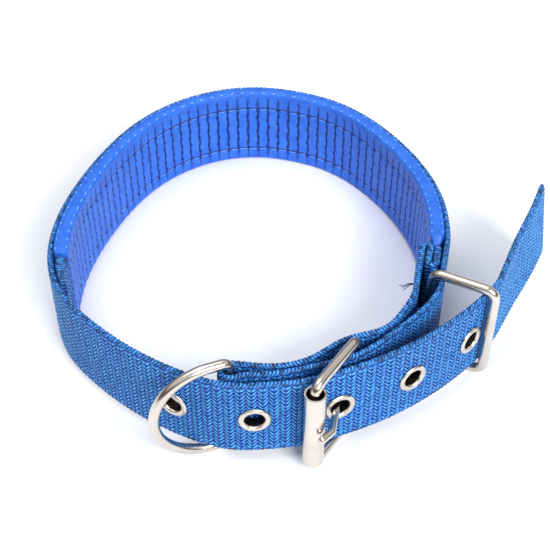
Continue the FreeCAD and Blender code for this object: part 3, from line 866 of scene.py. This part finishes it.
def build_thread_tuft():
    """Three loose thread ends that stand out of the inner layer, towards the neck."""
    s = LINE.distance_to(TUFT_AT)
    routes = [[(0.7, 21.8), (1.8, 22.0), (2.9, 20.9), (3.7, 20.4)],
              [(0.7, 21.6), (1.6, 21.4), (2.6, 20.2), (3.3, 19.2)],
              [(0.7, 21.7), (2.2, 21.5), (3.6, 20.3), (4.6, 20.6)]]
    tuft = bpy.data.curves.new("loose_thread_ends", "CURVE")
    tuft.dimensions = "3D"
    tuft.bevel_depth = 0.11 * MM
    tuft.bevel_resolution = 2
    for i, route in enumerate(routes):
        spline = tuft.splines.new("NURBS")
        spline.points.add(len(route) - 1)
        for point, (out, z) in zip(spline.points, route):
            point.co = (*to_row(LINE.place(s + 0.3 * i - 0.1 * out, out, z)), 1.0)
        spline.use_endpoint_u = True
        spline.order_u = 3
    tuft.materials.append(LOOSE_THREAD)
    piece = bpy.data.objects.new("loose_thread_ends", tuft)
    bpy.context.scene.collection.objects.link(piece)
    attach(piece, "collar")


# ---- metal ------------------------------------------------------------------------------------
def turned_piece(name, profile, centre, outward, material, painted_shade_material, dark, sides=56):
    """A closed profile of (radius, outward distance) pairs turned about an eyelet's axis.

    The profile's edges listed in dark take the second material, a dark metal painted as the shade
    within the eyelet's hole.
    """
    up = np.array([0.0, 0.0, 1.0])
    across = np.cross(outward, up)
    angles = np.linspace(0, 2 * math.pi, sides, endpoint=False)
    points = []
    for angle in angles:
        reach = across * math.cos(angle) + up * math.sin(angle)
        points.extend(centre + reach * r + outward * d for r, d in profile)
    count = len(profile)
    faces = []
    for i in range(sides):
        for j in range(count):
            a, b = i * count, (i + 1) % sides * count
            k = (j + 1) % count
            faces.append([a + j, b + j, b + k, a + k])
    piece = new_piece(name, to_row(np.array(points)), faces, None, material)
    piece.data.materials.append(painted_shade_material)
    for face in piece.data.polygons:
        face.material_index = int(face.index % count in dark)
    return piece


def eyelet_profile():
    """Rounded flange, funnel mouth, barrel and the lip rolled over behind the washer."""
    hole, flange = EYELET_HOLE, EYELET_FLANGE
    dome = []
    for k in range(9):
        angle = math.pi * k / 8.0
        middle = (hole + 0.25 + flange) / 2.0
        half = (flange - hole - 0.25) / 2.0
        dome.append((middle + half * math.cos(angle), HALF_WEB + 0.02 + 0.58 * math.sin(angle)))
    back = -(HALF_WEB + 0.65)
    lip = [(hole, HALF_WEB - 0.5), (hole, back + 0.1), (hole + 0.12, back - 0.18),
           (hole + 0.5, back - 0.30), (hole + 0.92, back - 0.16), (hole + 0.98, back + 0.02),
           (hole + 0.4, back + 0.06), (hole + 0.36, HALF_WEB - 0.1),
           (flange - 0.1, HALF_WEB - 0.04)]
    return dome + lip


# These edges take the dark metal that paints the shade within the hole.
SHADED_BARREL_EDGES = (8, 9, 10)    # the edges of the eyelet's profile that face the hole


def washer_profile():
    near = -(HALF_WEB + 0.2)
    far = near - 0.4
    return [(2.75, near), (3.85, near), (3.95, near - 0.12), (3.9, far + 0.08), (3.7, far),
            (3.1, far + 0.02), (2.75, far + 0.12)]


def build_eyelets():
    kinds = (("eyelet", eyelet_profile(), SHADED_BARREL_EDGES), ("eyelet_washer", washer_profile(), ()))
    for i, place in enumerate(EYELETS, 1):
        s = LINE.distance_to(place)
        centre = LINE.place(s, 0.0, WEB_WIDTH / 2.0)
        ahead = LINE.read(LINE.ahead, s)
        outward = np.array([-ahead[1], ahead[0], 0.0])
        outward = outward / np.linalg.norm(outward)
        for kind, profile, dark in kinds:
            node = "%s_%d" % (kind, i)
            piece = turned_piece(node + "_plated", profile, centre, outward, FLANGE_NICKEL,
                                 BARREL_PAINTED_SHADE, dark)
            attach(piece, "collar")
            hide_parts(node)


def bend_points(along, height, radius, first, last, steps):
    """Points of a bend with their outward directions, both as (along, height)."""
    angles = np.radians(np.linspace(first, last, steps + 1))
    outward = np.stack([np.cos(angles), np.sin(angles)], axis=-1)
    return np.array([along, height]) + radius * outward, outward


def wire_loop(name, node, body, back, front, bends):
    """A closed loop of round wire in the upright plane through two plan points."""
    out = np.array(front) - np.array(back)
    out = out / np.hypot(*out)
    ahead = np.array([out[0], out[1], 0.0])
    side = np.array([out[1], -out[0], 0.0])
    up = np.array([0.0, 0.0, 1.0])
    path = np.concatenate([points for points, _ in bends])
    outward = np.concatenate([directions for _, directions in bends])
    centres = np.array([back[0], back[1], 0.0]) + path[:, :1] * ahead + path[:, 1:] * up
    reach = outward[:, :1] * ahead + outward[:, 1:] * up
    turn = np.linspace(0.0, 2 * math.pi, WIRE_SIDES, endpoint=False)[None, :, None]
    ring = np.cos(turn) * reach[:, None, :] + np.sin(turn) * side
    points = (centres[:, None, :] + WIRE / 2.0 * ring).reshape(-1, 3)
    faces = tube_faces(len(path) + 1, WIRE_SIDES) % len(points)
    piece = new_piece(name, to_row(points), faces.tolist(), None, NICKEL)
    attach(piece, body)
    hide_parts(node)


def build_wires():
    low = WIRE / 2.0
    high = low + LOOP_HEIGHT + WIRE
    for node, body, back, front in (("buckle_frame", "buckle_frame", BASE_BAR, ROLLER_AXIS),
                                    ("keeper_loop", "keeper", KEEPER_BACK, KEEPER_FRONT)):
        near, far = CORNER_BEND, math.dist(back, front) - CORNER_BEND
        wire_loop(node + "_wire", node, body, back, front,
                  [bend_points(far, low + CORNER_BEND, CORNER_BEND, -90, 0, 12),
                   bend_points(far, high - CORNER_BEND, CORNER_BEND, 0, 90, 12),
                   bend_points(near, high - CORNER_BEND, CORNER_BEND, 90, 180, 12),
                   bend_points(near, low + CORNER_BEND, CORNER_BEND, 180, 270, 12)])
    bow = (high - low) / 2.0
    wire_loop("d_ring_wire", "d_ring", "d_ring", D_BAR, D_BOW,
              [bend_points(math.dist(D_BAR, D_BOW) - bow, low + bow, bow, -90, 90, 64),
               bend_points(D_BEND, high - D_BEND, D_BEND, 90, 180, 12),
               bend_points(D_BEND, low + D_BEND, D_BEND, 180, 270, 12)])


def dress_cad_nodes():
    """The roller, the prong and the foam keep their CAD shapes and take finished materials."""
    looks = {"buckle_roller": ROLLED_NICKEL, "buckle_prong": NICKEL, "pad_foam": foam_material()}
    for name, material in looks.items():
        node = frame["nodes"][name]
        node.material_slots[0].material = material


# ---- stage ------------------------------------------------------------------------------------
def build_floor():
    n = Nodes("white_paper")
    place = n.add("ShaderNodeTexCoord").outputs["Object"]
    colour = n.ramp(n.noise(place, 90.0, 3.0), [(0.3, (0.90, 0.91, 0.94, 1.0)),
                                                (0.7, (0.92, 0.93, 0.96, 1.0))])
    n.set(Base_Color=colour, Roughness=0.85)
    half = 3.0
    points = [(-half, -half, 0), (half, -half, 0), (half, half, 0), (-half, half, 0)]
    floor = new_piece("floor_sheet", points, [[0, 1, 2, 3]], None, n.material, smooth=False)
    floor.location.z = cad_box[0][2] - 0.00002


def area_light(name, place, target, size, power, colour):
    data = bpy.data.lights.new(name, "AREA")
    data.shape = "RECTANGLE"
    data.size, data.size_y = size
    data.energy = power
    data.color = colour
    light = bpy.data.objects.new(name, data)
    light.location = place
    aim = Vector(target) - Vector(place)
    light.rotation_euler = aim.to_track_quat("-Z", "Y").to_euler()
    bpy.context.scene.collection.objects.link(light)
    return light


def build_light():
    centre = to_row((0.0, 0.0, 0.0))
    area_light("key_softbox", (centre[0] + 0.40, centre[1] - 0.75, 0.62), centre, (0.5, 0.4), 11.0,
               (1.0, 0.985, 0.96))
    area_light("top_softbox", (centre[0] - 0.2, centre[1] + 0.1, 1.1), centre, (0.9, 0.7), 6.0,
               (0.96, 0.98, 1.0))
    world = bpy.data.worlds.new("studio")
    world.use_nodes = True
    tree = world.node_tree
    background = tree.nodes["Background"]
    coords = tree.nodes.new("ShaderNodeTexCoord")
    split = tree.nodes.new("ShaderNodeSeparateXYZ")
    ramp = tree.nodes.new("ShaderNodeValToRGB")
    tree.links.new(coords.outputs["Generated"], split.inputs[0])
    tree.links.new(split.outputs["Z"], ramp.inputs[0])
    tree.links.new(ramp.outputs[0], background.inputs["Color"])
    stops = [(0.0, (0.75, 0.72, 0.70, 1.0)), (0.08, (0.16, 0.12, 0.09, 1.0)),
             (0.34, (0.22, 0.18, 0.16, 1.0)), (0.52, (0.95, 0.96, 1.0, 1.0)),
             (0.80, (1.0, 1.0, 1.0, 1.0)), (0.92, (0.55, 0.52, 0.50, 1.0))]
    elements = ramp.color_ramp.elements
    while len(elements) < len(stops):
        elements.new(0.5)
    for element, (at, colour) in zip(elements, stops):
        element.position = at
        element.color = colour
    background.inputs["Strength"].default_value = 0.78
    bpy.context.scene.world = world
    settings = bpy.context.scene.view_settings
    settings.view_transform = "Standard"
    settings.exposure = 0.0


def build_camera():
    data = bpy.data.cameras.new("camera")
    data.lens = LENS
    data.sensor_width = 36.0
    data.clip_start = 0.01
    camera = bpy.data.objects.new("camera", data)
    target = to_row((0.0, 0.0, 0.0))
    camera.location = (target[0], target[1] - CAMERA_DISTANCE * math.cos(CAMERA_PITCH),
                       CAMERA_DISTANCE * math.sin(CAMERA_PITCH))
    camera.rotation_euler = (math.pi / 2 - CAMERA_PITCH, 0.0, 0.0)
    bpy.context.scene.collection.objects.link(camera)
    bpy.context.scene.camera = camera


build_camera()
build_webbing()
build_inner_layer_end()
pad_first, pad_last, pad_ribs = build_pad()
build_pad_seams(pad_first, pad_last, pad_ribs)
build_bartacks()
build_thread_tuft()
build_eyelets()
build_wires()
dress_cad_nodes()
build_floor()
build_light()
